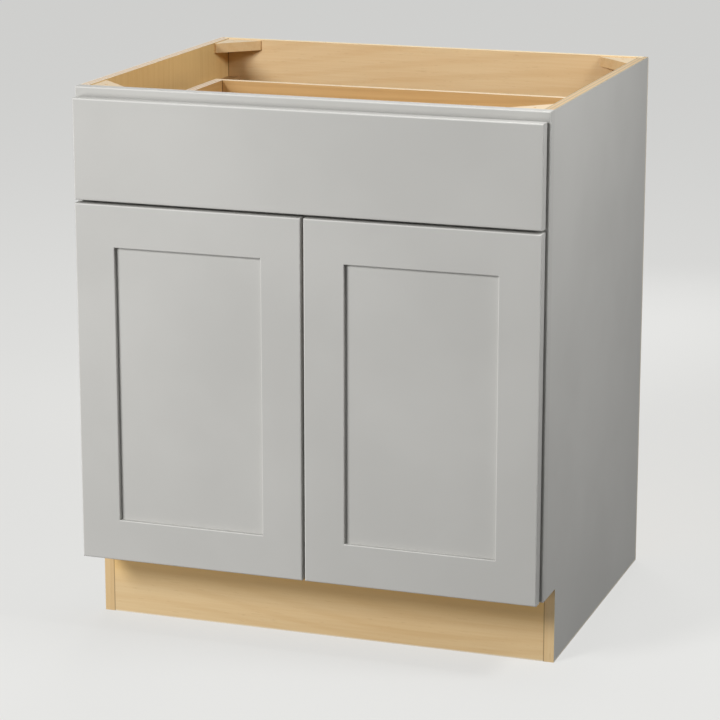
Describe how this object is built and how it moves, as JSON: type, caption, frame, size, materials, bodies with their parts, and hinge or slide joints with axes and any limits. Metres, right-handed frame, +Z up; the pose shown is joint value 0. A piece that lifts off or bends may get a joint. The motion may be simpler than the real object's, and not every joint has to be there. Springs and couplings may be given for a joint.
{
  "type": "kitchen base cabinet",
  "caption": "Framed kitchen base cabinet, open on top, with a slab drawer above a pair of recessed-panel doors on concealed hinges, a shelf inside and a recessed toe kick.",
  "frame": {"origin": "on the floor, in the middle of the cabinet's plan with its fronts closed", "axes": "+X to the cabinet's right as seen from its front, +Y from the front to the rear, +Z up"},
  "size_m": [0.762, 0.6316, 0.8763],
  "materials": {
    "gray_paint": "satin paint in a warm light gray",
    "side_plywood": "plywood, painted outside, clear maple inside, bare ply edges",
    "maple_plywood": "clear maple plywood, bare ply edges",
    "maple": "clear maple",
    "slide_zinc": "zinc plated",
    "bearing_steel": "polished balls in pressed strips",
    "hinge_nickel": "nickel plated",
    "screw_zinc": "zinc plated",
    "bumper": "clear soft plastic"
  },
  "bodies": {
    "cabinet": {"left_side_panel": "side_plywood", "right_side_panel": "side_plywood", "floor_panel": "maple_plywood", "back_panel": "maple_plywood", "toe_kick_board": "maple", "left_frame_stile": "gray_paint", "right_frame_stile": "gray_paint", "frame_top_rail": "gray_paint", "frame_middle_rail": "gray_paint", "frame_bottom_rail": "gray_paint", "left_front_corner_block": "maple_plywood", "right_front_corner_block": "maple_plywood", "left_rear_corner_block": "maple_plywood", "right_rear_corner_block": "maple_plywood", "left_slide_cleat": "maple_plywood", "right_slide_cleat": "maple_plywood", "left_slide_cabinet_member": "slide_zinc", "right_slide_cabinet_member": "slide_zinc", "cabinet_slide_screws": "screw_zinc", "shelf": "maple_plywood", "shelf_pins": "hinge_nickel", "left_hinge_arms": "hinge_nickel", "right_hinge_arms": "hinge_nickel", "hinge_arm_screws": "screw_zinc"},
    "drawer": {"drawer_front": "gray_paint", "drawer_box_front": "maple", "drawer_box_back": "maple", "drawer_bottom": "maple", "left_drawer_side": "maple", "right_drawer_side": "maple", "left_slide_drawer_member": "slide_zinc", "right_slide_drawer_member": "slide_zinc", "drawer_slide_screws": "screw_zinc", "drawer_front_screws": "screw_zinc", "drawer_bumpers": "bumper"},
    "slide_middles": {"left_slide_middle_member": "slide_zinc", "right_slide_middle_member": "slide_zinc"},
    "outer_ball_cages": {"left_slide_outer_ball_cage": "bearing_steel", "right_slide_outer_ball_cage": "bearing_steel"},
    "inner_ball_cages": {"left_slide_inner_ball_cage": "bearing_steel", "right_slide_inner_ball_cage": "bearing_steel"},
    "left_door": {"left_door_hinge_stile": "gray_paint", "left_door_meeting_stile": "gray_paint", "left_door_top_rail": "gray_paint", "left_door_bottom_rail": "gray_paint", "left_door_panel": "gray_paint", "left_hinge_cups": "hinge_nickel", "left_hinge_pins": "hinge_nickel", "left_cup_screws": "screw_zinc", "left_door_bumpers": "bumper"},
    "right_door": {"right_door_hinge_stile": "gray_paint", "right_door_meeting_stile": "gray_paint", "right_door_top_rail": "gray_paint", "right_door_bottom_rail": "gray_paint", "right_door_panel": "gray_paint", "right_hinge_cups": "hinge_nickel", "right_hinge_pins": "hinge_nickel", "right_cup_screws": "screw_zinc", "right_door_bumpers": "bumper"}
  },
  "joints": [
    {"name": "drawer_travel", "type": "slide", "parent": "cabinet", "child": "drawer", "axis": [0, -1, 0], "range_m": [0, 0.43]},
    {"name": "slide_middle_travel", "type": "slide", "parent": "cabinet", "child": "slide_middles", "axis": [0, -1, 0], "range_m": [0, 0.2155]},
    {"name": "outer_cage_travel", "type": "slide", "parent": "cabinet", "child": "outer_ball_cages", "axis": [0, -1, 0], "range_m": [0, 0.108]},
    {"name": "inner_cage_travel", "type": "slide", "parent": "cabinet", "child": "inner_ball_cages", "axis": [0, -1, 0], "range_m": [0, 0.323]},
    {"name": "left_door_swing", "type": "hinge", "parent": "cabinet", "child": "left_door", "pos_m": [-0.36801, -0.3073, 0.4089], "axis": [0, 0, -1], "range_deg": [0, 100]},
    {"name": "right_door_swing", "type": "hinge", "parent": "cabinet", "child": "right_door", "pos_m": [0.36801, -0.3073, 0.4089], "axis": [0, 0, 1], "range_deg": [0, 100]}
  ],
  "couplings": [
    {"joint": "slide_middle_travel", "follows": "drawer_travel", "ratio": 0.5},
    {"joint": "outer_cage_travel", "follows": "drawer_travel", "ratio": 0.25},
    {"joint": "inner_cage_travel", "follows": "drawer_travel", "ratio": 0.75}
  ]
}
